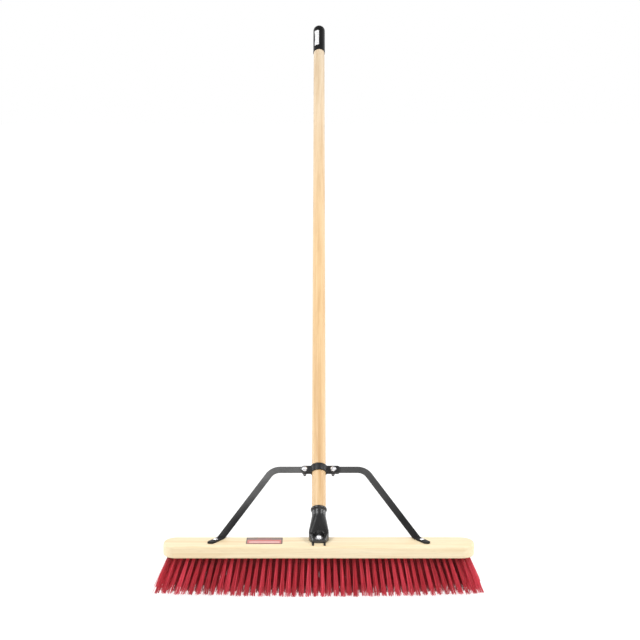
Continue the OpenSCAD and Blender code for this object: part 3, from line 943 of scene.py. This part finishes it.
def cap_piece():
    """Domed cap with a rounded lip, hollow where the wood enters it."""
    inner, lip, steps = HANDLE_R + 0.05 * MM, 0.3 * MM, 12
    profile = [(PIN_R, CAP_START + WOOD_IN_CAP), (inner, CAP_START + WOOD_IN_CAP),
               (inner, CAP_START + lip), (inner + lip, CAP_START), (CAP_R - 0.5 * MM, CAP_START),
               (CAP_R - 0.1 * MM, CAP_START + lip), (CAP_R, CAP_START + 3 * lip)]
    profile += [(CAP_R, CAP_START + (DOME_AT - CAP_START) * i / steps) for i in range(1, steps)]
    profile += [(r, DOME_AT + z) for r, z in arc(CAP_R, 0, 89, 24)]
    return smooth_by_angle(lathe("cap_moulding", profile, BASE, AXIS, 96), 40)


dress(cap_piece(), "handle", "cap_plastic", CAP_BLACK, "end_cap")


def film_material():
    """White film with faint grey bars across it."""
    m = Nodes("cap_film")
    stretched = m.coords((60, 60, 500), (LEAN, 0, 0))
    print_line = m.range(m.noise(stretched, 1.0, 2, 0.5), 0.56, 0.66, 0.0, 0.5)
    dirt = m.noise(m.coords((1, 1, 1)), 90, 4, 0.6)
    white = m.ramp(dirt, [(0.3, (0.80, 0.80, 0.80)), (0.7, (0.92, 0.92, 0.92))])
    m.link(m.mix(print_line, white, (0.42, 0.42, 0.44)), m.shader.inputs["Base Color"])
    m.link(m.range(dirt, 0.3, 0.7, 0.35, 0.5), m.shader.inputs["Roughness"])
    return m.material


def film_piece():
    """Film wrapped round the cap's front left, with rounded corners and a hollow left edge."""
    low, corner, steps = CAP_START + CAP_LABEL_AT, 2.5 * MM, 16
    r_in, r_out = CAP_R + 0.06 * MM, CAP_R + 0.34 * MM
    first, hollow = 0.02, 0.14                  # in radians round the cap
    cuts = [corner * (1 - math.cos(math.radians(a))) for a in (8, 30, 50, 70, 90)]
    heights = cuts + [CAP_LABEL_H * i / 10 for i in range(1, 10)]
    heights += [CAP_LABEL_H - c for c in reversed(cuts)]
    verts = []
    for h in heights:
        gap = corner - min(corner, h, CAP_LABEL_H - h)
        inset = (corner - math.sqrt(max(0, corner ** 2 - gap ** 2))) / CAP_R
        reach = CAP_LABEL_TURN - 2 * first - hollow * math.sin(math.pi * h / CAP_LABEL_H)
        for r, turns in ((r_out, range(steps + 1)), (r_in, range(steps, -1, -1))):
            for i in turns:
                a = first + inset + (reach - 2 * inset) * i / steps
                verts.append(on_handle(-r * math.sin(a), -r * math.cos(a), low + h))
    sides = 2 * (steps + 1)
    return smooth_by_angle(new_object("cap_film", verts, tube_faces(len(heights), sides)), 40)


dress(film_piece(), "handle", "label", film_material(), "cap_label")

# ---- floor, light and camera ---------------------------------------------------


def surroundings():
    """World light: white low down beyond the broom, dimmer overhead and behind the viewer."""
    world = bpy.data.worlds.new("studio")
    world.use_nodes = True
    nodes, links = world.node_tree.nodes, world.node_tree.links
    place = nodes.new("ShaderNodeTexCoord")
    split = nodes.new("ShaderNodeSeparateXYZ")
    links.new(place.outputs["Generated"], split.inputs["Vector"])
    both = nodes.new("ShaderNodeMath")
    both.operation = "MULTIPLY"
    for slot, axis, low, high, at_low, at_high in ((0, "Z", 0.2, 0.7, 1.0, 0.3),
                                                   (1, "Y", -0.5, 0.4, 0.45, 1.0)):
        span = nodes.new("ShaderNodeMapRange")
        links.new(split.outputs[axis], span.inputs["Value"])
        for key, value in (("From Min", low), ("From Max", high), ("To Min", at_low),
                           ("To Max", at_high)):
            span.inputs[key].default_value = value
        links.new(span.outputs["Result"], both.inputs[slot])
    links.new(both.outputs["Value"], nodes["Background"].inputs["Strength"])
    nodes["Background"].inputs["Color"].default_value = (1, 1, 1, 1)
    bpy.context.scene.world = world


def lay_floor():
    """Plain pale floor, lit from within just enough to come out white."""
    reach = 300
    corners = [(x * reach, y * reach, 0) for x, y in ((-1, -1), (1, -1), (1, 1), (-1, 1))]
    floor = new_object("floor", corners, [(0, 1, 2, 3)], smooth=False)
    floor.location.z = -0.5 * MM
    m = Nodes("pale_floor")
    m.set(Base_Color=(0.22, 0.22, 0.22, 1), Roughness=1.0, Specular_IOR_Level=0.0,
          Emission_Color=(1, 1, 1, 1), Emission_Strength=0.95)
    floor.data.materials.append(m.material)


def place_lights():
    """Two soft keys from above, two low rims from behind and a fill from the front."""
    broom, block_middle = (0, 0.05, 0.13), (0, 0, 0.1)
    for name, place, aim, size, power in (
            ("left_key", (-1.15, -0.5, 2.2), broom, 1.0, 34),
            ("right_key", (1.6, -0.4, 1.8), broom, 1.0, 26),
            ("left_rim", (-1.9, 0.9, 0.75), broom, 0.6, 9),
            ("right_rim", (1.9, 0.9, 0.75), broom, 0.6, 9),
            ("front_fill", (0.6, -2.7, 1.5), block_middle, 1.4, 12)):
        light = bpy.data.objects.new(name, bpy.data.lights.new(name, "AREA"))
        light.data.size = size
        light.data.energy = power
        light.location = place
        light.rotation_mode = "QUATERNION"
        light.rotation_quaternion = (Vector(aim) - Vector(place)).to_track_quat("-Z", "Y")
        bpy.context.collection.objects.link(light)


def place_camera():
    """Camera straight in front of the broom, a little above it and looking slightly down."""
    down = math.radians(8.57)
    camera = bpy.data.objects.new("camera", bpy.data.cameras.new("camera"))
    camera.data.sensor_width = 36
    camera.data.lens = 74.5
    camera.data.clip_end = 1000
    camera.location = (0.0024, -2.532, 0.927)
    camera.rotation_euler = (math.pi / 2 - down, 0, 0)
    bpy.context.collection.objects.link(camera)
    bpy.context.scene.camera = camera


lay_floor()
surroundings()
place_lights()
place_camera()
bpy.context.scene.view_settings.view_transform = "Standard"
